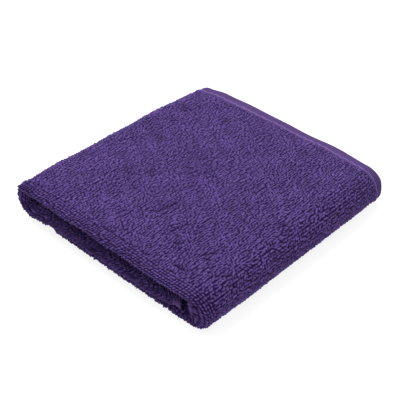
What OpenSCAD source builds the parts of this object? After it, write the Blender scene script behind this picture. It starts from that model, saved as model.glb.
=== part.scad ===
// Quick dry towel of looped terry, folded for storage.
// The cloth is folded in half along its length, which makes a strip of two leaves with one
// rounded folded edge (-Y) and two free hemmed edges (+Y). The strip is then folded in three
// across its length: the bottom panel lies on the table, turns over the right fold (+X) into the
// top panel, and turns again over the left fold (-X) into the inner flap between the two.
// The right fold is cut at mid height, because the towel opens there: the upper part turns about
// an axis along Y just outside the fold, at x = folded_w / 2 + layer_gap and
// z = folded_h / 2, from 0 to 180 degrees.
// Origin: middle of the folded stack, on the surface it lies on. +Z is up. Millimetres.

/* [Flat towel] */
// Width of the flat towel, across the long fold
towel_w = 300; // [240:1:400]
// Length of the flat towel
towel_l = 400; // [390:1:425]

/* [Folded stack] */
// Width over the two rounded cross folds
folded_w = 144.6; // [142:0.2:156]
// Height of the folded stack
folded_h = 24.4; // [23:0.1:30]
// Distance from the right-hand side to the end of the inner flap
inner_flap_inset = 18.3; // [14:0.1:30]
// Clearance between the inner flap and the bottom panel
layer_gap = 0.3; // [0.2:0.05:1]

/* [Cloth] */
// Thickness of one leaf of terry, with its loops on both faces
leaf_t = 3; // [2.6:0.05:3.2]
// Gap between the two leaves of the doubled strip
leaf_gap = 0.1; // [0.1:0.05:0.4]

/* [Hems] */
// Width of the flat-woven hem along each long side
side_hem_w = 7.6; // [5:0.1:12]
// Width of the flat-woven hem across each end
end_hem_w = 8; // [5:0.1:12]
// Thickness of a hem, which is the flat ground cloth turned over and sewn down
hem_t = 1.6; // [1:0.1:2]

/* [Stitching] */
// Thickness of the sewing thread where it lies on a hem
thread_t = 0.3; // [0.2:0.05:0.5]
// Width of the row of stitches
thread_w = 0.6; // [0.4:0.05:1]
// Distance from the edge of the pile to the row of stitches
seam_inset = 1.2; // [0.5:0.1:3]

/* [Hidden] */
$fn = 64;

// The doubled strip. n is the depth below the strip's outer face, and y runs across the strip.
strip_t = 2 * leaf_t + leaf_gap;
edge_r = strip_t / 2;                          // the rounded long fold
leaf_bend_r = (leaf_t + leaf_gap) / 2;         // middle of a leaf, round the long fold
folded_d = towel_w / 2 - PI * leaf_bend_r / 2 + edge_r;
edge_y = -folded_d / 2;                        // outermost line of the long fold
edge_centre_y = edge_y + edge_r;
hem_edge_y = folded_d / 2;                     // free edge of the side hems
pile_end_y = hem_edge_y - side_hem_w;          // where the loops stop and the side hems begin
hem_n = (leaf_t - hem_t) / 2;                  // depth of a hem inside its leaf

// The end hems: both leaves are flat there, so the strip is thinner.
end_hem_t = 2 * hem_t + 4 * leaf_gap;
end_hem_n = (strip_t - end_hem_t) / 2;
end_hem_centre_y = edge_centre_y;

// The two cross folds, as half rings about an axis along Y
right_r = folded_h / 2;
right_x = folded_w / 2 - right_r;
flap_z = strip_t + layer_gap;                  // underside of the inner flap
left_r = (folded_h - flap_z) / 2;
left_x = -folded_w / 2 + left_r;
left_z = flap_z + left_r;
split_deg = 1.5;                               // clearance on each side of the right fold's cut

// Lengths along the middle of the strip. The bottom panel takes what is left of the towel.
top_l = right_x - left_x;
flap_end_x = folded_w / 2 - inner_flap_inset;
flap_l = flap_end_x - left_x;
bends_l = PI * (right_r - edge_r) + PI * (left_r - edge_r);
bottom_l = towel_l - top_l - flap_l - bends_l;
bottom_end_x = right_x - bottom_l;

TERRY = [0.32, 0.22, 0.52];
HEM = [0.42, 0.31, 0.62];
THREAD = [0.47, 0.37, 0.68];

// ---- Sections across the strip, drawn with n along the first axis and y along the second ----

module doubled_outline(inset) {
    thickness = strip_t - 2 * inset;
    translate([strip_t / 2, edge_centre_y]) circle(r = thickness / 2);
    translate([inset, edge_centre_y]) square([thickness, pile_end_y - edge_centre_y]);
}

// Two leaves joined round the long fold
module doubled_section(inset) {
    difference() {
        doubled_outline(inset);
        translate([leaf_t, edge_centre_y]) square([leaf_gap, folded_d]);
    }
}

// The two side hems, one on the free edge of each leaf
module side_hem_section() {
    for (n = [hem_n, strip_t - hem_n - hem_t])
        translate([n, pile_end_y]) square([hem_t, side_hem_w]);
}

// One row of stitches on the outward face of each side hem
module side_seam_section() {
    for (n = [hem_n - thread_t, strip_t - hem_n])
        translate([n, pile_end_y + seam_inset]) square([thread_t, thread_w]);
}

// One row of stitches on each face of an end hem
module end_seam_section() {
    for (n = [end_hem_n - thread_t, strip_t - end_hem_n])
        translate([n, end_hem_centre_y]) square([thread_t, pile_end_y - end_hem_centre_y]);
}

// ---- A section carried along the strip ----

// Straight run with its outer face up, as on the top panel
module run_face_up(x, length, z)
    translate([x, 0, z]) rotate([0, 90, 0]) linear_extrude(height = length) children();

// Straight run with its outer face down, as on the bottom panel and the inner flap
module run_face_down(x, length, z)
    translate([x, 0, z]) mirror([0, 0, 1]) rotate([0, 90, 0])
        linear_extrude(height = length) children();

// Bend about an axis along Y, from one angle to another, measured downwards from +X
module bend(x, z, radius, from_deg, to_deg)
    translate([x, 0, z]) rotate([-90, 0, 0]) rotate([0, 0, from_deg])
        rotate_extrude(angle = to_deg - from_deg)
            translate([radius, 0]) mirror([1, 0]) children();

// ---- The stretches of the strip, each with the section it is given ----

module bottom_run() run_face_down(bottom_end_x, bottom_l, 0) children();
module right_lower_bend() bend(right_x, right_r, right_r, split_deg, 90) children();
module right_upper_bend() bend(right_x, right_r, right_r, -90, -split_deg) children();
module top_run() run_face_up(left_x, top_l, folded_h) children();
module left_bend() bend(left_x, left_z, left_r, 90, 270) children();
module inner_run() run_face_down(left_x, flap_l, flap_z) children();

// ---- Lower body ----

module bottom_panel() color(TERRY)
    run_face_down(bottom_end_x + end_hem_w, bottom_l - end_hem_w, 0) doubled_section(0);
module bottom_side_hems() color(HEM) bottom_run() side_hem_section();
module bottom_side_seams() color(THREAD) bottom_run() side_seam_section();
module bottom_end_hem() color(HEM)
    run_face_down(bottom_end_x, end_hem_w, 0) doubled_section(end_hem_n);
module bottom_end_seam() color(THREAD)
    run_face_down(bottom_end_x + end_hem_w - seam_inset - thread_w, thread_w, 0) end_seam_section();
module right_fold_lower() color(TERRY) right_lower_bend() doubled_section(0);
module right_fold_lower_hems() color(HEM) right_lower_bend() side_hem_section();
module right_fold_lower_seams() color(THREAD) right_lower_bend() side_seam_section();

// ---- Upper body ----

module right_fold_upper() color(TERRY) right_upper_bend() doubled_section(0);
module right_fold_upper_hems() color(HEM) right_upper_bend() side_hem_section();
module right_fold_upper_seams() color(THREAD) right_upper_bend() side_seam_section();
module top_panel() color(TERRY) top_run() doubled_section(0);
module top_side_hems() color(HEM) top_run() side_hem_section();
module top_side_seams() color(THREAD) top_run() side_seam_section();
module left_fold() color(TERRY) left_bend() doubled_section(0);
module left_fold_hems() color(HEM) left_bend() side_hem_section();
module left_fold_seams() color(THREAD) left_bend() side_seam_section();
module inner_flap() color(TERRY)
    run_face_down(left_x, flap_l - end_hem_w, flap_z) doubled_section(0);
module inner_side_hems() color(HEM) inner_run() side_hem_section();
module inner_side_seams() color(THREAD) inner_run() side_seam_section();
module inner_end_hem() color(HEM)
    run_face_down(flap_end_x - end_hem_w, end_hem_w, flap_z) doubled_section(end_hem_n);
module inner_end_seam() color(THREAD)
    run_face_down(flap_end_x - end_hem_w + seam_inset, thread_w, flap_z) end_seam_section();

bottom_panel();
bottom_side_hems();
bottom_side_seams();
bottom_end_hem();
bottom_end_seam();
right_fold_lower();
right_fold_lower_hems();
right_fold_lower_seams();
right_fold_upper();
right_fold_upper_hems();
right_fold_upper_seams();
top_panel();
top_side_hems();
top_side_seams();
left_fold();
left_fold_hems();
left_fold_seams();
inner_flap();
inner_side_hems();
inner_side_seams();
inner_end_hem();
inner_end_seam();
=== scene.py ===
"""Quick dry towel: looks and materials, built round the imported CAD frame.

The towel is one long strip of doubled terry that follows a spiral path: bottom panel, right fold,
top panel, left fold, inner flap. Every mesh below is made in the strip's own coordinates and
carried into place by on_strip():
    u  distance along the strip, from the end of the bottom panel, at the middle of its thickness
    y  across the strip, the same as the frame's Y
    n  height above the middle of the strip, positive towards its outer face
Lengths are in millimetres until a mesh is made.
"""

import math
from collections import namedtuple

import bpy
import numpy as np
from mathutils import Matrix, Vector


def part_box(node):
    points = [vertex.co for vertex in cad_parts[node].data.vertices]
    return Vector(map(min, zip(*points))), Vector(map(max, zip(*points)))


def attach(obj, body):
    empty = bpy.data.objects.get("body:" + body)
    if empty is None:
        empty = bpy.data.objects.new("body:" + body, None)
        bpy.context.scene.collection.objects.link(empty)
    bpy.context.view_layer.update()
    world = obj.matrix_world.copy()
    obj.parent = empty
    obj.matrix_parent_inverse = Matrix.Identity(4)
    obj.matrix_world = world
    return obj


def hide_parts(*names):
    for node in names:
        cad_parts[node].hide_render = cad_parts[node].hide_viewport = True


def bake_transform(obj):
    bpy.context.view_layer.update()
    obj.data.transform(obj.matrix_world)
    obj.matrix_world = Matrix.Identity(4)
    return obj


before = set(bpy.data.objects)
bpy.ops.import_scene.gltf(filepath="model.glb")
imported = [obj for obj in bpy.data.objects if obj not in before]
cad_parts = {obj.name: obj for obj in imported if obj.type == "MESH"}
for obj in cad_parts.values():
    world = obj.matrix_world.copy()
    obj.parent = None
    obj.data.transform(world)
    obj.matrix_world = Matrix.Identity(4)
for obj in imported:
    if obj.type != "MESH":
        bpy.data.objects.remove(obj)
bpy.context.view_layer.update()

MM = 0.001


# ---------------------------------------------------------------- sizes, from the CAD frame


def cad_box(node):
    """The node's lowest and highest corners, in millimetres."""
    return [np.array(corner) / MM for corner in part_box(node)]


top_lo, top_hi = cad_box("top_panel")
flap_lo, flap_hi = cad_box("inner_flap")
hem_lo, hem_hi = cad_box("top_side_hems")
flap_end_lo, flap_end_hi = cad_box("inner_end_hem")
bottom_end_lo, bottom_end_hi = cad_box("bottom_end_hem")
seam_lo, seam_hi = cad_box("top_side_seams")

STRIP_T = top_hi[2] - top_lo[2]
HALF_T = STRIP_T / 2
LEAF_GAP = 0.1  # between the two leaves of the strip, as in part.scad
EDGE_Y = top_lo[1]
EDGE_CENTRE_Y = EDGE_Y + HALF_T
PILE_END_Y = top_hi[1]
HEM_EDGE_Y = hem_hi[1]
HEM_W = HEM_EDGE_Y - PILE_END_Y
HEM_T = 1.6  # thickness of a side hem, as in part.scad
HEM_N = HALF_T - (top_hi[2] - hem_hi[2]) - HEM_T / 2  # middle of a side hem, above the strip's middle
SEAM_Y = (seam_lo[1] + seam_hi[1]) / 2
END_HEM_HALF_T = (flap_end_hi[2] - flap_end_lo[2]) / 2
END_HEM_W = bottom_end_hi[0] - bottom_end_lo[0]
FLAP_HEM_W = END_HEM_W - 2.8  # the pile covers a little of the hem there

RIGHT_X = top_hi[0]
LEFT_X = top_lo[0]
RIGHT_R = top_hi[2] / 2 - HALF_T
LEFT_R = (top_hi[2] - flap_lo[2]) / 2 - HALF_T
LEFT_Z = (top_hi[2] + flap_lo[2]) / 2

# Where each stretch of the strip starts, along u
U_RIGHT = RIGHT_X - bottom_end_lo[0]
U_TOP = U_RIGHT + math.pi * RIGHT_R
U_LEFT = U_TOP + RIGHT_X - LEFT_X
U_FLAP = U_LEFT + math.pi * LEFT_R
U_END = U_FLAP + flap_end_hi[0] - LEFT_X


# ---------------------------------------------------------------- the strip's path


def smooth(t):
    """0 below 0, 1 above 1, with no corner between."""
    t = np.clip(t, 0.0, 1.0)
    return t * t * (3 - 2 * t)


def ramp(place, zero_at, one_at):
    """0 on one side of zero_at, 1 on the far side of one_at, and smooth between them."""
    return smooth((place - zero_at) / (one_at - zero_at))


def mound(place, middle, width):
    """A rounded mound: 1 at the middle, about a third at width from it, and nothing far away."""
    return np.exp(-(((place - middle) / width) ** 2))


def right_turn(u):
    """How far round the right fold u is, from 0 to 1."""
    return np.clip((u - U_RIGHT) / (U_TOP - U_RIGHT), 0.0, 1.0)


def left_turn(u):
    """How far round the left fold u is, from 0 to 1."""
    return np.clip((u - U_LEFT) / (U_FLAP - U_LEFT), 0.0, 1.0)


def heading(u):
    """How far the strip has turned at u: 0 on the bottom panel, pi on the top panel, 2 pi on the flap."""
    return math.pi * (right_turn(u) + left_turn(u))


def path_point(u):
    """x and z of the middle of the strip at u."""
    angle = heading(u)
    x = np.where(u < U_RIGHT, u - U_RIGHT + RIGHT_X, RIGHT_X)
    z = np.full_like(x, HALF_T)
    x = np.where(u >= U_RIGHT, RIGHT_X + RIGHT_R * np.sin(angle), x)
    z = np.where(u >= U_RIGHT, HALF_T + RIGHT_R * (1 - np.cos(angle)), z)
    x = np.where(u >= U_TOP, RIGHT_X - (u - U_TOP), x)
    z = np.where(u >= U_TOP, HALF_T + 2 * RIGHT_R, z)
    x = np.where(u >= U_LEFT, LEFT_X + LEFT_R * np.sin(angle), x)
    z = np.where(u >= U_LEFT, LEFT_Z - LEFT_R * np.cos(angle), z)
    x = np.where(u >= U_FLAP, LEFT_X + (u - U_FLAP), x)
    return x, z


def waves(a, b, lengths, seed):
    """A smooth random height over (a, b), from about -1 to 1, made of waves of these lengths."""
    rng = np.random.default_rng(seed)
    total = np.zeros(np.broadcast(a, b).shape)
    for length in lengths:
        direction, phase = rng.uniform(0, 2 * math.pi, 2)
        across = a * math.cos(direction) + b * math.sin(direction)
        total += np.sin(2 * math.pi * across / length + phase)
    return total / math.sqrt(len(lengths))


# ---------------------------------------------------------------- how the folded cloth gives way

# How far each effect moves the cloth, in millimetres
ROLL = 0.4  # gentle hills on the top panel
LONG_EDGE_DROP = 0.5  # the top panel, towards the long fold
LEFT_SWELL = 1.2  # the top panel near the left fold
FLAP_SAG = 1.0  # the left fold and the start of the flap, down
FRONT_DROOP = 2.3  # their front edge, further down
BOTTOM_SHIFT = 2.9  # the bottom panel's front edge, back from the top panel's, and its hems less so
FLAP_END_SHIFT = 1.4  # the flap's front edge at its free end, back
HEM_WAVER = 0.25  # the free edges of the side hems, to and fro
HEM_TUCK = 3.0  # the side hems under the right fold, in
BACK_CORNER_IN, BACK_CORNER_LEFT, BACK_CORNER_DOWN = 2.7, 1.9, 1.0  # the right fold's hemmed corner
LEFT_CORNER_IN, LEFT_CORNER_DOWN = 1.2, 1.0  # the left fold's hemmed corner
PINCH = 2.8  # the bottom panel's inner face, at its front edge beside the right fold
RIGHT_BUNCH_BELOW, RIGHT_BUNCH_ABOVE = 9.6, 7.0  # cloth bunched inside the right fold, at its two ends
LEFT_BUNCH = 3.4  # the same inside the left fold
LEFT_FLATTENING, RIGHT_FLATTENING = 2.1, 1.1  # how far the cross folds are drawn in near the long fold
FLAP_END_SKEW = 5.2  # how much further from the right fold the flap ends behind its front corner
FLAP_END_BACK = 0.4  # how much further that front corner lies than on the plain path

# How far some effects reach from the long fold's front edge
BUNCH_REACH = 15
FLATTENING_REACH = 30
DENT_REACH = 7


def back_corner(u, y):
    """1 at the hemmed corner of the right fold, where the cloth is drawn in, falling to 0 away from it."""
    round_fold = ramp(right_turn(u), 0.15, 0.6) * ramp(u, U_TOP + 34, U_TOP - 6)
    return round_fold * ramp(y, HEM_EDGE_Y - 32, HEM_EDGE_Y)


def left_corner(u, y):
    """1 at the hemmed corner of the left fold, where the top is drawn in, falling to 0 away from it."""
    round_fold = ramp(u, U_LEFT - 14, U_LEFT) * ramp(left_turn(u), 0.9, 0.4)
    return round_fold * ramp(y, HEM_EDGE_Y - 20, HEM_EDGE_Y)


def hem_tuck(u, y):
    """1 on the hems of the lower half of the right fold, which are drawn in under it."""
    lower = ramp(u, U_RIGHT - 8, U_RIGHT + 2) * ramp(right_turn(u), 0.7, 0.3)
    return lower * ramp(y, PILE_END_Y - 3, HEM_EDGE_Y)


def bottom_pinch(u):
    """1 where the bottom panel's front edge is squeezed flat, just before the right fold."""
    return ramp(u, U_RIGHT - 15, U_RIGHT - 2) * ramp(u, U_RIGHT + 4.5, U_RIGHT)


def inner_share(n):
    """0 on the strip's outer face and 1 on its inner face."""
    return ramp(n, HALF_T, -HALF_T)


def bunched(y):
    """1 at the long fold's front edge, falling to 0 where the cloth no longer bunches up."""
    return ramp(y, EDGE_Y + BUNCH_REACH, EDGE_Y)


# Creases on the top: middle x and y, direction in degrees from +X, length, and height
CREASES = [
    (44.0, -64.5, 3, 7.5, 0.9),
    (48.5, -48.5, 63, 9.5, 0.7),
    (32.0, -52.0, 43, 5.0, 0.5),
    (61.1, -4.4, 75, 8.0, 0.5),
    (-55.5, 42.7, 6, 9.0, 0.6),
    (-26.6, 50.9, 86, 8.0, 0.4),
    (42.0, -16.4, -6, 9.0, 0.45),
    (8.5, -32.5, 80, 13.0, 0.45),
    (24.5, -43.0, 82, 12.0, 0.45),
    (1.0, 2.0, 74, 13.0, 0.4),
]
# The ridge and the furrow of a crease: how far each lies from its middle line, half its width, and its share
# of the crease's height
CREASE_RIDGE = (-0.9, 1.5, 1.2)
CREASE_FURROW = (1.0, 0.8, 1.6)


def creases(u, y):
    """Heights of the small ridges on the top panel, and depths of the furrow along one side of each."""
    x = RIGHT_X - (u - U_TOP)
    ridges, furrows = np.zeros(np.broadcast(u, y).shape), np.zeros(np.broadcast(u, y).shape)
    for cx, cy, direction, length, lift in CREASES:
        turn = math.radians(direction)
        along = (x - cx) * math.cos(turn) + (y - cy) * math.sin(turn)
        beside = -(x - cx) * math.sin(turn) + (y - cy) * math.cos(turn)
        reach = mound(along, 0, length / 2)
        for total, (middle, width, share) in ((ridges, CREASE_RIDGE), (furrows, CREASE_FURROW)):
            total += share * lift * reach * mound(beside, middle, width)
    return ridges, furrows


# How far the hems sink on each panel, and how much less than that on the outer leaf (more on the inner one)
BOTTOM_HEM_SINK = (0.6, 0.25)
TOP_HEM_SINK = (0.5, 0.1)
FLAP_HEM_SINK = (0.8, 0.3)
TOP_CORNER_SINK = (1.0, -0.1)  # added towards the right fold
HEM_SINK_START_Y = PILE_END_Y - 9.0
HEM_SLACK = 1.5  # how far the top's hems hang slack, and where, as shares of the top from right to left
HEM_SLACK_MIDDLE, HEM_SLACK_REACH = 0.36, 0.22


def hem_sink(u, y, n):
    """How far the thinner hemmed edges sink into the stack, at a point of the strip."""
    outer = np.clip(n / HEM_N, -1, 1)
    bottom, top, flap, corner = (
        mean - spread * outer
        for mean, spread in (BOTTOM_HEM_SINK, TOP_HEM_SINK, FLAP_HEM_SINK, TOP_CORNER_SINK)
    )
    along_top = np.clip((u - U_TOP) / (U_LEFT - U_TOP), 0, 1)
    slack = HEM_SLACK * mound(along_top, HEM_SLACK_MIDDLE, HEM_SLACK_REACH)
    top = top + slack + (1 - along_top) ** 2 * corner
    amount = bottom + (top - bottom) * smooth(right_turn(u)) + (flap - top) * smooth(left_turn(u))
    edge = np.clip((y - HEM_SINK_START_Y) / (HEM_EDGE_Y - HEM_SINK_START_Y), 0, 1.1) ** 1.6
    return edge * amount


def flap_sag(u, y):
    """How far the left fold and the start of the flap hang below the flap's level, past the bottom panel's
    end. Their front edge hangs lower and a little further on, in front of the bottom panel."""
    from_fold = path_point(u)[0] - LEFT_X
    lower = ramp(left_turn(u), 0.3125, 0.9375)
    front = ramp(y, EDGE_Y + 6, EDGE_Y + 1)
    droop = FRONT_DROOP * front * ramp(from_fold, -4, 5) * ramp(from_fold, 22, 14)
    return lower * (FLAP_SAG * ramp(from_fold, 11, 3) + droop)


def height_change(u, y, n):
    """How far a point of the strip stands above its place on the plain path."""
    on_top = smooth(right_turn(u)) * (1 - smooth(left_turn(u)))
    calm = 1 - 0.6 * ramp(y, HEM_EDGE_Y - 45, HEM_EDGE_Y - 10)
    roll = ROLL * calm * waves(u, y, (41, 29, 57, 23, 35), seed=5)
    swell = LEFT_SWELL * mound(y, 25, 16) * ramp(u, U_LEFT - 30, U_LEFT)
    edge_drop = LONG_EDGE_DROP * np.clip(1 - (y - EDGE_Y) / 14, 0, 1) ** 2
    ridges, furrows = creases(u, y)
    raised = on_top * (roll + swell - edge_drop + smooth(n / HALF_T) * (ridges - furrows))
    corners = BACK_CORNER_DOWN * back_corner(u, y) + LEFT_CORNER_DOWN * left_corner(u, y)
    return raised - hem_sink(u, y, n) - flap_sag(u, y) - corners


def depth_change(u, y, n):
    """How far a point of the strip lies behind its place on the plain path, along +Y."""
    to_front = ramp(y, HEM_EDGE_Y, EDGE_Y)
    bottom_back = BOTTOM_SHIFT * ramp(right_turn(u), 0.95, 0.25) * (0.4 + 0.6 * to_front)
    flap_end_back = FLAP_END_SHIFT * ramp(u, U_END - 26, U_END - 4) * to_front**2
    waver = HEM_WAVER * waves(u, 0 * u, (37, 61, 23), seed=21) * ramp(y, PILE_END_Y, HEM_EDGE_Y)
    corners = BACK_CORNER_IN * back_corner(u, y) + LEFT_CORNER_IN * left_corner(u, y)
    return bottom_back + flap_end_back + waver + rim_dents(u, y, n) - corners - HEM_TUCK * hem_tuck(u, y)


def side_change(u, y, n):
    """How far a point of the strip lies from its place on the plain path, along +X. The cloth bunches up
    inside each cross fold near the long fold, and reaches towards the middle of the towel."""
    right_arc, left_arc = np.sin(math.pi * right_turn(u)), np.sin(math.pi * left_turn(u))
    right_bunch = RIGHT_BUNCH_BELOW + (RIGHT_BUNCH_ABOVE - RIGHT_BUNCH_BELOW) * right_turn(u)
    bunch = LEFT_BUNCH * left_arc**1.5 - right_bunch * right_arc**0.9
    flattening = LEFT_FLATTENING * left_arc * (1 - 0.6 * left_turn(u)) - RIGHT_FLATTENING * right_arc**2
    skew = FLAP_END_BACK + FLAP_END_SKEW * ramp(y, EDGE_Y + 1, EDGE_Y + 8)
    flap_end = skew * ramp(u, U_END - 30, U_END - 4)
    inwards = inner_share(n) * bunched(y) * bunch + ramp(y, EDGE_Y + FLATTENING_REACH, EDGE_Y) * flattening
    return inwards - flap_end - BACK_CORNER_LEFT * back_corner(u, y)


# Dimples where the bunched cloth folds in on itself: how far round the right fold, n, and depth
DIMPLES = [(0.7, 0.1, 2.0), (0.47, -0.1, 2.0), (0.16, -0.8, 1.6), (0.32, -1.4, 1.1), (0.86, -0.6, 0.9)]
DIMPLE_LENGTH, DIMPLE_WIDTH = 1.3, 0.9  # half of each, along u and along n
PINCH_DENT = 0.3


def dimples(u, n):
    """Depth of the dimples in the rim of the right fold."""
    total = 0
    for turn, level, depth in DIMPLES:
        along = (u - U_RIGHT - turn * (U_TOP - U_RIGHT)) * (RIGHT_R + level) / RIGHT_R
        total = total + depth * mound(along, 0, DIMPLE_LENGTH) * mound(n, level, DIMPLE_WIDTH)
    return total


def rim_dents(u, y, n):
    """Dents in the rim of the right fold, measured along +Y."""
    return ramp(y, EDGE_Y + DENT_REACH, EDGE_Y) * (PINCH_DENT * bottom_pinch(u) ** 2 + dimples(u, n))


def on_strip(u, y, n):
    """World points, in millimetres, of strip coordinates."""
    u, y, n = np.broadcast_arrays(np.asarray(u, float), y, n)
    angle = heading(u)
    x, z = path_point(u)
    out = n + PINCH * inner_share(n) * bottom_pinch(u) * bunched(y)
    x = x + out * np.sin(angle) + side_change(u, y, n)
    z = z - out * np.cos(angle) + height_change(u, y, n)
    return np.stack([x, y + depth_change(u, y, n), z], axis=-1)


# ---------------------------------------------------------------- making meshes


def make_mesh(name, points, quads, polygons=()):
    """An object from points in millimetres, smooth quads, and other polygons, which are flat."""
    sizes = np.concatenate([np.full(len(quads), 4), [len(p) for p in polygons]]).astype(np.int32)
    corners = np.concatenate([quads.ravel(), *[np.array(p) for p in polygons]]).astype(np.int32)
    mesh = bpy.data.meshes.new(name)
    mesh.vertices.add(len(points))
    mesh.vertices.foreach_set("co", (points * MM).astype(np.float32).ravel())
    mesh.loops.add(len(corners))
    mesh.loops.foreach_set("vertex_index", corners)
    mesh.polygons.add(len(sizes))
    starts = np.concatenate([[0], np.cumsum(sizes)[:-1]]).astype(np.int32)
    mesh.polygons.foreach_set("loop_start", starts)
    is_smooth = np.ones(len(sizes), bool)
    is_smooth[len(quads) :] = False
    mesh.polygons.foreach_set("use_smooth", is_smooth)
    mesh.update(calc_edges=True)
    mesh.validate()
    obj = bpy.data.objects.new(name, mesh)
    bpy.context.scene.collection.objects.link(obj)
    return obj


def add_values(obj, name, values):
    """A number at each vertex, which a material reads by this name."""
    attribute = obj.data.attributes.new(name, "FLOAT", "POINT")
    attribute.data.foreach_set("value", np.ascontiguousarray(values, np.float32))


def add_places(obj, name, places):
    """A position at each vertex, which a material reads by this name."""
    attribute = obj.data.attributes.new(name, "FLOAT_VECTOR", "POINT")
    attribute.data.foreach_set("vector", np.ascontiguousarray(places, np.float32).ravel())


def grid_quads(rows, cols, start=0, flip=False, closed=False):
    """Quads of a grid of rows x cols vertices that starts at index start. A closed grid's last column is
    joined to its first."""
    across = np.arange(cols if closed else cols - 1)
    r, c = np.meshgrid(np.arange(rows - 1), across, indexing="ij")
    this_row = start + r.ravel() * cols
    next_row = this_row + cols
    this, after = c.ravel(), (c.ravel() + 1) % cols
    quads = np.stack([this_row + this, this_row + after, next_row + after, next_row + this], axis=1)
    return quads[:, ::-1] if flip else quads


def border_polygons(fine, coarse, step):
    """Polygons that join a fine border to a coarse one, with step fine edges to each coarse edge."""
    faces = []
    for i in range(len(coarse) - 1):
        faces.append(list(fine[i * step : (i + 1) * step + 1]) + [coarse[i + 1], coarse[i]])
    return faces


def spaced(start, end, pitch, multiple=1):
    """Values from start to end about pitch apart, in a number of steps that multiple divides."""
    count = max(1, round(abs(end - start) / pitch / multiple)) * multiple
    return np.linspace(start, end, count + 1)


def joined(*runs):
    """Runs of values end to end, without repeating where they meet."""
    return np.concatenate([runs[0], *[run[1:] for run in runs[1:]]])


# ---------------------------------------------------------------- a sheet folded round the long fold


class Profile:
    """The outline across a doubled sheet: outer leaf, round the long fold, inner leaf. s runs along it."""

    def __init__(self, half_t):
        self.half_t = half_t
        self.leaf_t = half_t - LEAF_GAP / 2
        self.straight = PILE_END_Y - EDGE_CENTRE_Y
        self.arc = math.pi * half_t
        self.fold_s = self.straight + self.arc / 2
        self.length = 2 * self.straight + self.arc

    def place(self, s):
        """How far s is past the long fold's axis along Y, and the outward direction there as (y, n)."""
        angle = np.clip((s - self.straight) / self.half_t, 0, math.pi)
        run = np.maximum(self.straight - s, 0) + np.maximum(s - self.straight - self.arc, 0)
        return run, -np.sin(angle), np.cos(angle)


COARSE_STEP = 6  # edges of the outer grid to one edge of the grid inside the fold
PLAIN_HEIGHT = 0.4  # what the material reads as height on the plain faces
PLAIN_TINT = 0.5


def rounded_edge(distance, reach):
    """Share of the thickness: 1 away from a cut edge, and less towards it, as a rounded edge is."""
    thinnest = 0.2
    t = np.clip(distance / reach, 0, 1)
    return thinnest + (1 - thinnest) * np.sqrt(1 - (1 - t) ** 2)


def doubled_sheet(name, u, s, profile, relief, cut_ends, edge_reach):
    """A closed sheet folded round the long fold. Its outer faces carry relief(u, s, n), which gives a height
    over the plain face, and a tint and a height that the material turns into painted shade and painted light.
    The faces inside the fold are plain and coarse. cut_ends are the values of u where the cloth ends;
    elsewhere it carries on as another piece."""
    uu, ss = np.meshgrid(u, s, indexing="ij")
    run, side, up = profile.place(ss)
    distance = np.minimum(ss, profile.length - ss)
    for end in cut_ends:
        distance = np.minimum(distance, np.abs(uu - end))
    thickness = rounded_edge(distance, edge_reach)
    height, height_and_painted_shade, tint = relief(uu, ss, profile.half_t * up)
    leaf_mid = profile.half_t - profile.leaf_t / 2
    out = leaf_mid + (profile.leaf_t / 2 + height) * thickness
    outer = on_strip(uu, EDGE_CENTRE_Y + run + side * out, up * out)

    inside = (slice(None, None, COARSE_STEP), slice(None, None, COARSE_STEP))
    out = leaf_mid - profile.leaf_t / 2 * thickness[inside]
    inner = on_strip(uu[inside], EDGE_CENTRE_Y + run[inside] + side[inside] * out, up[inside] * out)

    rows, cols = uu.shape
    coarse_rows, coarse_cols = inner.shape[:2]
    base = rows * cols
    fine = np.arange(base).reshape(rows, cols)
    coarse = base + np.arange(coarse_rows * coarse_cols).reshape(coarse_rows, coarse_cols)
    borders = [
        (fine[0, ::-1], coarse[0, ::-1]),
        (fine[-1], coarse[-1]),
        (fine[:, 0], coarse[:, 0]),
        (fine[::-1, -1], coarse[::-1, -1]),
    ]
    quads = np.concatenate([grid_quads(rows, cols), grid_quads(coarse_rows, coarse_cols, base, flip=True)])
    polygons = [polygon for a, b in borders for polygon in border_polygons(a, b, COARSE_STEP)]
    points = np.concatenate([outer.reshape(-1, 3), inner.reshape(-1, 3)])
    obj = make_mesh(name, points, quads, polygons)
    plain = np.ones(len(points) - base)
    # This height becomes painted shade between the loops and painted light on their crests
    add_values(obj, "height", np.concatenate([height_and_painted_shade.ravel(), PLAIN_HEIGHT * plain]))
    add_values(obj, "tint", np.concatenate([tint.ravel(), PLAIN_TINT * plain]))
    places = np.stack([uu, ss, 0 * uu], axis=-1)
    add_places(obj, "strip", np.concatenate([places.reshape(-1, 3), places[inside].reshape(-1, 3)]))
    return obj


# ---------------------------------------------------------------- the pile

# How the loops of the pile are laid. pitch is from loop to loop along u and along the outline; jitter is how
# far a loop strays, as a share of that; stub is the share of its half width by which a loop's straight part
# stops short of half a pitch; stagger is how far every second row is shifted, as a share of the pitch.
Weave = namedtuple("Weave", "pitch jitter stub stagger seed")
ACROSS = Weave(pitch=(1.4, 1.72), jitter=0.5, stub=0.6, stagger=0.5, seed=3)  # most of the cloth
BEADS = Weave(pitch=(1.9, 1.6), jitter=0.22, stub=0.95, stagger=0.0, seed=4)  # rows round the long fold

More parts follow.
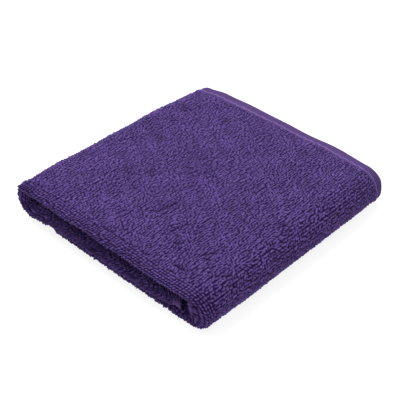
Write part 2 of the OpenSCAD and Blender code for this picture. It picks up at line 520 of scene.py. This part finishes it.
LOOP_FULLNESS = 0.43  # half a loop's width, as a share of the smaller pitch
LOOP_ROUNDNESS = 0.75
LOOP_ARCH = 0.2  # share of its height that a loop loses towards its ends
LOOP_UNEVEN = 0.34  # share of the height that chance may take
LOOP_LEAN = math.radians(99)  # the way that most loops lie, from u towards the outline
LOOP_SCATTER = 1.1  # radians between the loops that lean most to either side
LOOP_DRIFT = 0.26  # radians that whole patches of loops turn together
LOOP_RISE = 1.15  # height of a loop above the ground between the loops
GROUND_DEPTH = 1.05  # how far that ground lies under the leaf's face
FOLD_STRETCH = 0.4  # share of a cross fold's stretch that the pile takes up with more loops
BEAD_ROWS_REACH = 9.0  # how far the rows of beads reach from the middle of the long fold
BEAD_SCATTER, FAR_BEAD_SCATTER = 0.3, 1.6  # radians between beads, near the right fold and further on
BEAD_WAVER = 0.5  # how far the rows of beads waver, further on
RIB_DEPTH = 0.4  # share of a loop's height that is missing between ribs
RIB_PITCH = 2.4  # from rib to rib, where the loops stand in wandering ribs across the strip
DEEPEST_RIB = 0.85
DEEPEST_PARTING = 0.8  # share of a loop's height that is missing in a crease
ROUGH_CENTRE = -2.5  # middle of the rough rim, from the middle of the long fold towards the outer leaf
LOOSE_RISE = 0.5  # share by which loose loops stand higher
ROUGH_GAP_SHADE, BEAD_GAP_SHADE = 0.4, 0.28  # extra contrast of painted shade between the loops, on the rough rim and on the rows of beads
TUFT_PAINTED_SHADE = 0.4  # painted shade: how much darker the rough rim is between its tufts
DIMPLE_PAINTED_SHADE, DARKEST_DIMPLE_SHADE = 0.5, 0.85  # painted shade: how much darker a dimple is, for each millimetre, and at most


def cell_random(i, j, seed, count):
    """count random numbers from 0 to 1 for each cell (i, j), the same on every piece of cloth."""
    positive = 0x7FFFFFFF
    key = ((i * 73856093) ^ (j * 19349663) ^ (seed * 83492791)) & positive
    numbers = []
    for _ in range(count):
        key = (key * 1103515245 + 12345) & positive
        key = ((key ^ (key >> 13)) * 1597334677 + 12820163) & positive
        numbers.append((key >> 7) / float(positive >> 7))
    return numbers


def lay_loops(a, b, weave, direction, best, tint):
    """Raises best to the height of the loops of one weave, and sets tint where a loop is on top.
    direction(a, b, chance) is the way that the loop at (a, b) lies, or NaN for no loop."""
    pitch_a, pitch_b = weave.pitch
    radius = LOOP_FULLNESS * min(weave.pitch)
    half_length = max(weave.pitch) / 2 - weave.stub * radius
    rows, cols = np.floor(a / pitch_a).astype(np.int64), np.floor(b / pitch_b).astype(np.int64)
    for di in (-1, 0, 1):
        for dj in (-1, 0, 1):
            i, j = rows + di, cols + dj
            stray_a, stray_b, chance, evenness, own_tint = cell_random(i, j, weave.seed, 5)
            middle_a = (i + 0.5 + weave.jitter * (stray_a - 0.5)) * pitch_a
            middle_b = (j + 0.5 + weave.jitter * (stray_b - 0.5) + weave.stagger * (i % 2)) * pitch_b
            angle = direction(middle_a, middle_b, chance)
            exists = ~np.isnan(angle)
            angle = np.where(exists, angle, 0)
            da, db = a - middle_a, b - middle_b
            along = da * np.cos(angle) + db * np.sin(angle)
            beside = db * np.cos(angle) - da * np.sin(angle)
            over = np.clip(along, -half_length, half_length)
            gap = ((along - over) ** 2 + beside**2) / radius**2
            arch = 1 - LOOP_ARCH * (over / half_length) ** 2
            height = (1 - LOOP_UNEVEN + LOOP_UNEVEN * evenness) * arch
            rise = height * np.clip(1 - gap, 0, 1) ** LOOP_ROUNDNESS * exists
            higher = rise > best
            best = np.where(higher, rise, best)
            tint = np.where(higher, own_tint, tint)
    return best, tint


terry = Profile(HALF_T)


def bead_rows(a, b):
    """True where rows of beads follow the long fold: on the top panel and round the cross folds."""
    return (np.abs(b - terry.fold_s) < BEAD_ROWS_REACH) & (a > U_RIGHT - 3) & (a < U_FLAP + 10)


def loop_across(a, b, chance):
    """Loops that lie across the strip, give or take a drift that changes along it."""
    drift = LOOP_DRIFT * waves(a, b, (21, 13, 17, 29), seed=11)
    angle = LOOP_LEAN + drift + LOOP_SCATTER * (chance - 0.5)
    return np.where(bead_rows(a, b), np.nan, angle)


def bead_along(a, b, chance):
    """Beads that stand in rows along the strip, and point more and more ways away from the right fold."""
    scatter = BEAD_SCATTER + (FAR_BEAD_SCATTER - BEAD_SCATTER) * ramp(a, U_TOP + 15, U_TOP + 50)
    return np.where(bead_rows(a, b), scatter * (chance - 0.5), np.nan)


def bead_place(a, b):
    """Where (a, b) would lie if the rows of beads were straight: they waver away from the right fold."""
    waver = BEAD_WAVER * ramp(a, U_TOP + 20, U_TOP + 50)
    along = waver * waves(a, b, (7.3, 9.1, 6.2), seed=41)
    beside = waver * waves(a, b, (6.7, 8.4, 11.3), seed=42)
    return a + along, b + beside


def ribs(a, b):
    """How the loops stand in wandering ribs across the strip: 1 on a rib, and less between ribs."""
    wander = 0.7 * waves(a, b, (9, 7, 12, 16), seed=31) + 0.12 * b
    depth = RIB_DEPTH * (1 + 0.4 * waves(a, b, (11, 17, 14), seed=32))
    between = 0.5 - 0.5 * np.cos(2 * math.pi * (a + wander) / RIB_PITCH)
    return np.where(bead_rows(a, b), 1.0, 1 - np.clip(depth, 0, DEEPEST_RIB) * between)


def rough_rim(a, b):
    """1 along the long fold where the loops stand out loosely, 0 elsewhere."""
    rim = ramp(np.abs(b - terry.fold_s - ROUGH_CENTRE), 8.5, 3.5)
    return rim * np.maximum(ramp(a, U_RIGHT - 2, U_RIGHT - 10), ramp(a, U_LEFT - 12, U_LEFT - 4))


def terry_relief(uu, ss, n):
    """Height of the pile over the leaf's face, the height that the material shows, and each loop's tint.
    The shown height is a share of a loop's, and lowered for painted shade where the pile is shaded: between
    tufts, in dimples, and between loops."""
    a = uu + FOLD_STRETCH * n * heading(uu)
    best, tint = np.zeros(a.shape), np.full(a.shape, PLAIN_TINT)
    best, tint = lay_loops(a, ss, ACROSS, loop_across, best, tint)
    best, tint = lay_loops(*bead_place(a, ss), BEADS, bead_along, best, tint)
    parted = np.clip(creases(uu, EDGE_CENTRE_Y + terry.straight - ss)[1], 0, DEEPEST_PARTING)
    best = best * ribs(a, ss) * (1 - parted)

    rough = rough_rim(a, ss)
    tufts = waves(a, ss, (3.1, 4.3, 5.2, 3.7), seed=33)
    loose = rough * smooth(1.5 + 1.5 * tufts)
    height = LOOP_RISE * best * (1 + LOOSE_RISE * loose) - GROUND_DEPTH

    # Painted shade, in colour only: darker between the rough rim's tufts, in the dimples, and between the
    # loops of the rough rim and the beads
    painted_tuft_shade = 1 - TUFT_PAINTED_SHADE * rough * smooth(-0.2 - 1.3 * tufts)
    painted_dimple_shade = 1 - np.clip(DIMPLE_PAINTED_SHADE * dimples(uu, n), 0, DARKEST_DIMPLE_SHADE)
    gap_shade = 1 + np.maximum(ROUGH_GAP_SHADE * rough, BEAD_GAP_SHADE * bead_rows(a, ss))
    return height, painted_tuft_shade * painted_dimple_shade * best**gap_shade, tint


FINE = 0.30  # from vertex to vertex where the pile is seen best
SIDE = 1.25 * FINE  # on the panels' faces, across the strip
LOWER = 1.4 * FINE  # on the bottom panel and the flap, along the strip
HIDDEN = 0.62  # on the inner leaf, across the strip
INNER_RIM = 12  # how far the inner leaf is seen from the long fold
PILE_EDGE = 1.3  # how far in from a cut edge the pile is rounded


def make_cloth():
    """The terry in two pieces, which meet where the top panel turns into the left fold."""
    fold_end = terry.straight + terry.arc
    s = joined(
        spaced(0, terry.straight, SIDE, COARSE_STEP),
        spaced(terry.straight, fold_end, FINE, COARSE_STEP),
        spaced(fold_end, fold_end + INNER_RIM, SIDE, COARSE_STEP),
        spaced(fold_end + INNER_RIM, terry.length, HIDDEN, COARSE_STEP),
    )
    right_fine = FINE * RIGHT_R / (RIGHT_R + HALF_T)
    left_fine = FINE * LEFT_R / (LEFT_R + HALF_T)
    pile_start, pile_end = END_HEM_W, U_END - FLAP_HEM_W
    main_u = joined(
        spaced(pile_start, U_RIGHT, LOWER, COARSE_STEP),
        spaced(U_RIGHT, U_TOP, right_fine, COARSE_STEP),
        spaced(U_TOP, U_LEFT, FINE, COARSE_STEP),
    )
    flap_u = joined(
        spaced(U_LEFT, U_FLAP, left_fine, COARSE_STEP),
        spaced(U_FLAP, pile_end, LOWER, COARSE_STEP),
    )
    main = doubled_sheet("terry_main", main_u, s, terry, terry_relief, [pile_start], PILE_EDGE)
    flap = doubled_sheet("terry_flap", flap_u, s, terry, terry_relief, [pile_end], PILE_EDGE)
    return main, flap


# ---------------------------------------------------------------- hems

STITCH_PITCH = 3.0
STITCH_LENGTH = 2.3
STITCH_R = 0.24
STITCH_LIFT = 0.14  # how far a stitch's middle lies above the bottom of its groove
STITCH_TAPER = 0.85  # how much of its cross-section a stitch loses at its ends
STITCH_DIP = 0.3  # how far its ends dip into the hem
STITCH_SLANT = 0.1  # how far it turns from the row, to one side and the other by turns
STITCH_APART = 7  # from stitch to stitch in the place that the material reads, so no two look the same

BEAD = 0.85  # height of the turned-in edge that is sewn down beside the pile
END_BEAD = 0.4 * BEAD
RIDGE = 0.2  # height of the woven ridges along a side hem
END_RIDGE = 0.5 * RIDGE
RIDGE_PITCH = 1.7
GROOVE = 0.22  # depth that the stitches pull into a hem
GROOVE_WIDTH = 0.45
END_SEAM = 1.5  # from the pile to the stitches of an end hem
PLAIN_RIM = 0.3  # how much of a hem's free edge has no ridges


def sewn_face(t, along, seam, width, ridge):
    """Height of a hem's face between its bead and its free edge: the groove that the stitches pull in at
    t = seam, and woven ridges beyond it. t is how far it is from the pile, and along the place on the hem."""
    pull = 1 + 0.35 * np.sin(2 * math.pi * along / STITCH_PITCH)
    groove = GROOVE * mound(t, seam, GROOVE_WIDTH) * pull
    ridges = ridge * np.cos(2 * math.pi * (t - seam - 1.1) / RIDGE_PITCH)
    plain_end = width - PLAIN_RIM
    return ridges * ramp(t, seam, seam + 0.8) * ramp(t, plain_end, plain_end - 0.8) - groove


def hem_face(t, u):
    """Height of a side hem's face, t across it from the pile, u along it."""
    scallop = 0.4 * np.sin(2 * math.pi * u / 5.3) + 0.25 * np.sin(2 * math.pi * u / 8.1 + 1)
    bead = BEAD * mound(t + scallop, 0.3, 0.65)
    return bead + sewn_face(t, u, SEAM_Y - PILE_END_Y, HEM_W, RIDGE)


def side_hem(name, u, leaf):
    """The hem along one leaf's free edge: a flat band with a sewn bead beside the pile and a rounded free
    edge. leaf is 1 for the outer leaf and -1 for the inner one."""
    half = HEM_T / 2
    tucked, flat_end = -0.9, HEM_W - half  # the hem starts a little way under the pile
    face = np.linspace(tucked, flat_end, 36)
    turn = np.linspace(math.pi / 2, -math.pi / 2, 9)[1:-1]
    back = np.linspace(flat_end, tucked, 9)
    t = np.concatenate([face, flat_end + half * np.cos(turn), back])
    m = np.concatenate([np.full(len(face), half), half * np.sin(turn), np.full(len(back), -half)])
    on_face = np.concatenate([np.ones(len(face)), np.zeros(len(turn) + len(back))])
    uu, tt = np.meshgrid(u, t, indexing="ij")
    relief = hem_face(tt, uu) * on_face
    n = leaf * (HEM_N + m + relief)
    points = on_strip(uu, PILE_END_Y + tt, n)
    rows, cols = uu.shape
    quads = grid_quads(rows, cols, flip=leaf > 0, closed=True)
    index = np.arange(rows * cols).reshape(rows, cols)
    ends = [list(index[0]), list(index[-1, ::-1])]
    if leaf > 0:
        ends = [end[::-1] for end in ends]
    obj = make_mesh(name, points.reshape(-1, 3), quads, ends)
    # The hem's height, which the material turns into painted shade in the groove and painted light on the
    # bead
    add_values(obj, "height", (0.5 + relief / (2 * BEAD)).ravel())
    add_places(obj, "strip", np.stack([uu, tt, n], axis=-1).reshape(-1, 3))
    return obj


end_hem_profile = Profile(END_HEM_HALF_T)


def end_face(t, s):
    """Height of an end hem's face, t across it from the pile, s along it."""
    return END_BEAD * mound(t, 0.4, 0.5) + sewn_face(t, s, END_SEAM, END_HEM_W, END_RIDGE)


def end_hem(name, free_end, pile_end):
    """The hem across one end of the strip, folded round the long fold as the pile is."""

    def relief(uu, ss, n):
        height = end_face(np.abs(uu - pile_end), ss)
        # The shown height becomes painted shade in the groove and painted light on the bead
        return height, 0.5 + height / (2 * BEAD), PLAIN_TINT + 0 * uu

    u = spaced(min(free_end, pile_end), max(free_end, pile_end), 0.22, COARSE_STEP)
    fold_end = end_hem_profile.straight + end_hem_profile.arc
    s = joined(
        spaced(0, end_hem_profile.straight, 0.8, COARSE_STEP),
        spaced(end_hem_profile.straight, fold_end, 0.3, COARSE_STEP),
        spaced(fold_end, end_hem_profile.length, 0.8, COARSE_STEP),
    )
    return doubled_sheet(name, u, s, end_hem_profile, relief, [free_end], 0.8)


# ---------------------------------------------------------------- stitches


def stitch_row(name, centres, along):
    """A row of stitches, each a short plump thread whose ends dip into the hem. centres are
    (u, y, n, outward) with outward 1 or -1 along n, and along is the row's direction: "u" or "y"."""
    rings, sides = 7, 6
    t = np.linspace(-1, 1, rings)
    around = np.arange(sides) * 2 * math.pi / sides
    radius = STITCH_R * np.sqrt(1 - STITCH_TAPER * t**4)
    run = np.repeat(t * STITCH_LENGTH / 2, sides)
    beside = (radius[:, None] * np.cos(around)).ravel()
    above = (radius[:, None] * np.sin(around) - STITCH_DIP * t[:, None] ** 2).ravel()
    quads, polygons, points, places = [], [], [], []
    for k, (u, y, n, outward) in enumerate(centres):
        slant = STITCH_SLANT * (-1) ** k
        du, dy = (run, beside + slant * run) if along == "u" else (beside + slant * run, run)
        points.append(on_strip(u + du, y + dy, n + outward * above))
        places.append(np.stack([run + STITCH_APART * k, beside, above], axis=-1))
        start, end = k * rings * sides, (k + 1) * rings * sides
        inward = (outward > 0) == (along == "u")
        quads.append(grid_quads(rings, sides, start, flip=inward, closed=True))
        caps = [list(range(start, start + sides)), list(range(end - sides, end))[::-1]]
        polygons += [cap[::-1] for cap in caps] if inward else caps
    obj = make_mesh(name, np.concatenate(points), np.concatenate(quads), polygons)
    add_places(obj, "strip", np.concatenate(places))
    return obj


def side_stitches(name, start, end, leaf):
    """The row of stitches along one leaf's side hem, on the face that points out of the strip."""
    centres = spaced(start + STITCH_PITCH / 2, end - STITCH_PITCH / 2, STITCH_PITCH)
    n = leaf * (HEM_N + HEM_T / 2 - GROOVE + STITCH_LIFT)
    return stitch_row(name, [(u, SEAM_Y, n, leaf) for u in centres], "u")


def end_stitches(name, pile_end, inward):
    """The rows of stitches on both faces of an end hem."""
    seam = pile_end + inward * END_SEAM
    centres = []
    for face in (1, -1):
        n = face * (END_HEM_HALF_T - GROOVE + STITCH_LIFT)
        centres += [(seam, y, n, face) for y in spaced(EDGE_CENTRE_Y + 1, PILE_END_Y - 2, STITCH_PITCH)]
    return stitch_row(name, centres, "y")


# ---------------------------------------------------------------- materials


class Shader:
    """A material and short ways to add nodes to it."""

    def __init__(self, name):
        self.material = bpy.data.materials.new(name)
        self.material.use_nodes = True
        self.nodes = self.material.node_tree.nodes
        self.links = self.material.node_tree.links
        self.surface = self.nodes["Principled BSDF"]

    def node(self, kind, settings=None, **inputs):
        """A new node itself, with these settings and these inputs."""
        node = self.nodes.new(kind)
        for key, value in (settings or {}).items():
            setattr(node, key, value)
        for key, value in inputs.items():
            self.put(node, key.replace("_", " "), value)
        return node

    def put(self, node, key, value):
        """Links value to a node's input if it is a socket, and sets it there if it is a constant."""
        socket = node.inputs[key]
        if isinstance(value, bpy.types.NodeSocket):
            self.links.new(value, socket)
        else:
            socket.default_value = value

    def attribute(self, name, output="Fac"):
        """A value of the mesh's vertices."""
        return self.node("ShaderNodeAttribute", {"attribute_name": name}).outputs[output]

    def noise(self, place, scale, detail=2.0):
        """Soft noise from 0 to 1."""
        return self.node("ShaderNodeTexNoise", Vector=place, Scale=scale, Detail=detail).outputs["Fac"]

    def ramp(self, value, stops):
        """A colour read off stops of (value, colour)."""
        node = self.node("ShaderNodeValToRGB", Fac=value)
        elements = node.color_ramp.elements
        while len(elements) < len(stops):
            elements.new(0.5)
        for element, (position, color) in zip(elements, stops):
            element.position = position
            element.color = (*color, 1)
        return node.outputs["Color"]

    def between(self, value, low, high):
        """A value from 0 to 1, spread from low to high."""
        node = self.node("ShaderNodeMapRange", Value=value)
        node.inputs["To Min"].default_value = low
        node.inputs["To Max"].default_value = high
        return node.outputs["Result"]

    def math(self, operation, a, b):
        """Two values joined by a Math node's operation."""
        node = self.node("ShaderNodeMath", {"operation": operation})
        self.put(node, 0, a)
        self.put(node, 1, b)
        return node.outputs["Value"]

    def times(self, color, factor):
        """A colour made brighter or darker."""
        node = self.node("ShaderNodeMix", {"data_type": "RGBA", "blend_type": "MULTIPLY"})
        node.inputs["Factor"].default_value = 1.0
        self.links.new(color, node.inputs["A"])
        self.links.new(factor, node.inputs["B"])
        return node.outputs["Result"]

    def bump(self, height, distance):
        """Fine relief for the surface, distance millimetres deep."""
        node = self.node("ShaderNodeBump", Height=height, Distance=distance * MM, Strength=1.0)
        self.put(self.surface, "Normal", node.outputs["Normal"])

    def finish(self, color, roughness, sheen):
        """The material itself, as cloth: barely shiny, with a fuzzy sheen."""
        self.put(self.surface, "Base Color", color)
        self.put(self.surface, "Roughness", roughness)
        self.surface.inputs["Specular IOR Level"].default_value = 0.08
        self.surface.inputs["Sheen Weight"].default_value = sheen
        self.surface.inputs["Sheen Roughness"].default_value = 0.45
        self.surface.inputs["Sheen Tint"].default_value = (*SHEEN_TINT, 1)
        return self.material


# Colours, linear red, green and blue
# Painted shade: the dark colour between the loops, where shade falls
VALLEY_PAINTED_SHADE = (0.0105, 0.0036, 0.0340)
LOOP = (0.059, 0.0320, 0.131)
# Painted light: the lighter colour on the loops' crests
LOOP_CREST_PAINTED_LIGHT = (0.097, 0.0590, 0.208)
# Painted shade: a hem's colour in the stitched groove and between its ridges
HEM_GROOVE_PAINTED_SHADE = (0.044, 0.022, 0.092)
HEM_MID = (0.062, 0.034, 0.121)
# Painted light: a hem's colour on its raised bead
HEM_BEAD_PAINTED_LIGHT = (0.128, 0.079, 0.236)
THREAD = (0.115, 0.073, 0.205)
SHEEN_TINT = (0.56, 0.42, 0.92)


def terry_material():
    """Looped cotton: painted shade between loops, painted light on crests, a tint of its own on each loop,
    fuzzy fibres.
    """
    m = Shader("terry")
    place = m.attribute("strip", "Vector")
    # The height ramp paints shade between the loops and light on their crests
    color = m.ramp(m.attribute("height"), [(0.12, VALLEY_PAINTED_SHADE), (0.5, LOOP), (0.9, LOOP_CREST_PAINTED_LIGHT)])
    color = m.times(color, m.between(m.attribute("tint"), 0.86, 1.14))
    color = m.times(color, m.between(m.noise(place, 0.045, 3), 0.80, 1.20))
    fibre = m.noise(place, 3.2, 3)
    color = m.times(color, m.between(fibre, 0.72, 1.28))
    m.bump(fibre, 0.22)
    roughness = m.between(fibre, 0.78, 1.0)
    return m.finish(color, roughness, 0.1)


def hem_material():
    """Plain flat weave: fine ribs both ways, painted shade in the groove and between the ridges, painted
    light on the bead.
    """
    m = Shader("hem_weave")
    place = m.attribute("strip", "Vector")
    weave_inputs = {"Vector": place, "Distortion": 0.6, "Detail_Scale": 2.0}
    warp, weft = (
        m.node("ShaderNodeTexWave", {"bands_direction": axis}, Scale=scale, **weave_inputs).outputs["Fac"]
        for axis, scale in (("Y", 0.55), ("X", 0.62))
    )
    weave = m.math("MULTIPLY", warp, weft)
    fibre = m.noise(place, 4.0, 3)
    # The height ramp paints shade in the groove and between the ridges, and light on the bead
    stops = [(0.35, HEM_GROOVE_PAINTED_SHADE), (0.52, HEM_MID), (0.62, HEM_MID), (0.95, HEM_BEAD_PAINTED_LIGHT)]
    color = m.ramp(m.attribute("height"), stops)
    color = m.times(color, m.between(weave, 0.82, 1.15))
    color = m.times(color, m.between(m.noise(place, 0.08, 3), 0.85, 1.15))
    color = m.times(color, m.between(fibre, 0.85, 1.15))
    m.bump(m.math("ADD", weave, m.math("MULTIPLY", fibre, 0.6)), 0.1)
    return m.finish(color, m.between(weave, 0.95, 0.75), 0.12)


def thread_material():
    """Twisted sewing thread."""
    m = Shader("thread")
    place = m.attribute("strip", "Vector")
    wave = m.node("ShaderNodeTexWave", {"bands_direction": "DIAGONAL"}, Vector=place, Scale=0.9)
    twist = wave.outputs["Fac"]
    color = m.ramp(twist, [(0.0, tuple(0.7 * c for c in THREAD)), (0.8, THREAD)])
    m.bump(twist, 0.05)
    return m.finish(color, m.between(twist, 0.8, 0.6), 0.12)


# ---------------------------------------------------------------- the towel

terry_main, terry_flap = make_cloth()

# From vertex to vertex along the side hems
HEM_STEP, HEM_TOP_STEP, HEM_FOLD_STEP = 0.9, 0.7, 0.5
hem_u = joined(
    spaced(0, U_RIGHT, HEM_STEP),
    spaced(U_RIGHT, U_TOP, HEM_FOLD_STEP),
    spaced(U_TOP, U_LEFT, HEM_TOP_STEP),
)
hem_flap_u = joined(spaced(U_LEFT, U_FLAP, HEM_FOLD_STEP), spaced(U_FLAP, U_END, HEM_STEP))
hem_outer_main = side_hem("side_hem_outer_main", hem_u, 1)
hem_inner_main = side_hem("side_hem_inner_main", hem_u, -1)
hem_outer_flap = side_hem("side_hem_outer_flap", hem_flap_u, 1)
hem_inner_flap = side_hem("side_hem_inner_flap", hem_flap_u, -1)
end_hem_bottom = end_hem("end_hem_bottom", 0.0, END_HEM_W)
end_hem_flap = end_hem("end_hem_flap", U_END, U_END - FLAP_HEM_W)

stitches_outer_main = side_stitches("stitches_outer_main", 0, U_LEFT, 1)
stitches_inner_main = side_stitches("stitches_inner_main", 0, U_LEFT, -1)
stitches_outer_flap = side_stitches("stitches_outer_flap", U_LEFT, U_END, 1)
stitches_inner_flap = side_stitches("stitches_inner_flap", U_LEFT, U_END, -1)
stitches_end_bottom = end_stitches("stitches_end_bottom", END_HEM_W, -1)
stitches_end_flap = end_stitches("stitches_end_flap", U_END - FLAP_HEM_W, 1)

crossing = [terry_main, hem_outer_main, hem_inner_main, stitches_outer_main, stitches_inner_main]
above = [terry_flap, hem_outer_flap, hem_inner_flap, end_hem_flap]
above += [stitches_outer_flap, stitches_inner_flap, stitches_end_flap]
below = [end_hem_bottom, stitches_end_bottom]


def slot_of(piece):
    """The material slot of a piece, from its name."""
    if piece.name.startswith("stitches"):
        return "thread"
    if "hem" in piece.name:
        return "hem_weave"
    return "terry"


finishes = {"terry": terry_material(), "hem_weave": hem_material(), "thread": thread_material()}
for piece in crossing + above + below:
    slot = slot_of(piece)
    piece.data.materials.append(finishes[slot])

# The pieces that cross the right fold stay where they are, with their placement baked into their meshes.
for piece in crossing:
    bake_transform(piece)
for piece in above:
    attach(piece, "upper")
for piece in below:
    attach(piece, "lower")

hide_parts("bottom_panel", "right_fold_lower", "right_fold_upper", "top_panel")
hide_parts("left_fold", "inner_flap")
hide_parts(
    "bottom_side_hems", "right_fold_lower_hems", "right_fold_upper_hems", "top_side_hems"
)
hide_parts("left_fold_hems", "inner_side_hems")
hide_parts("bottom_end_hem")
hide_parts("inner_end_hem")
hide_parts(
    "bottom_side_seams",
    "right_fold_lower_seams",
    "right_fold_upper_seams",
    "top_side_seams",
)
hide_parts("left_fold_seams", "inner_side_seams")
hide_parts("bottom_end_seam")
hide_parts("inner_end_seam")


# ---------------------------------------------------------------- camera, light and floor

AZIMUTH, ELEVATION = math.radians(43.45), math.radians(37.06)
CAMERA_AT = Vector((0.26395, -0.2811, 0.2973))
SENSOR, LENS = 36.0, 77.56


def make_camera():
    """The camera, which looks down on the corner between the long fold and the right fold."""
    data = bpy.data.cameras.new("camera")
    data.sensor_width = SENSOR
    data.lens = LENS
    data.clip_start = 0.01
    camera = bpy.data.objects.new("camera", data)
    camera.location = CAMERA_AT
    back_x, back_y = math.sin(AZIMUTH) * math.cos(ELEVATION), -math.cos(AZIMUTH) * math.cos(ELEVATION)
    back = Vector((back_x, back_y, math.sin(ELEVATION)))
    camera.rotation_euler = back.to_track_quat("Z", "Y").to_euler()
    bpy.context.scene.collection.objects.link(camera)
    bpy.context.scene.camera = camera


def area_light(name, at, size, power):
    """A round soft light that points at the towel."""
    light = bpy.data.lights.new(name, "AREA")
    light.shape = "DISK"
    light.size = size
    light.energy = power
    obj = bpy.data.objects.new(name, light)
    obj.location = at
    obj.rotation_euler = Vector(at).to_track_quat("Z", "Y").to_euler()
    bpy.context.scene.collection.objects.link(obj)


make_camera()
area_light("key", at=(-0.5, 0.2, 0.95), size=1.0, power=20)
area_light("fill", at=(0.7, -0.6, 0.7), size=0.9, power=2.6)


def make_world():
    """Even white light from all round."""
    world = bpy.data.worlds.new("studio")
    world.use_nodes = True
    background = world.node_tree.nodes["Background"]
    background.inputs["Color"].default_value = (1, 1, 1, 1)
    background.inputs["Strength"].default_value = 1.0
    bpy.context.scene.world = world
    bpy.context.scene.view_settings.view_transform = "Standard"


def make_floor():
    """A plain pale floor with a faint unevenness, lit from within so that shadows stay faint."""
    bpy.ops.mesh.primitive_plane_add(size=6)
    floor = bpy.context.object
    floor.name = "floor"
    m = Shader("floor")
    place = m.node("ShaderNodeTexCoord").outputs["Object"]
    color = m.ramp(m.noise(place, 3.0), [(0.0, (0.21, 0.21, 0.21)), (1.0, (0.23, 0.23, 0.23))])
    m.put(m.surface, "Base Color", color)
    m.surface.inputs["Roughness"].default_value = 0.8
    m.surface.inputs["Emission Color"].default_value = (1, 1, 1, 1)
    m.surface.inputs["Emission Strength"].default_value = 0.80
    floor.data.materials.append(m.material)


make_world()
make_floor()
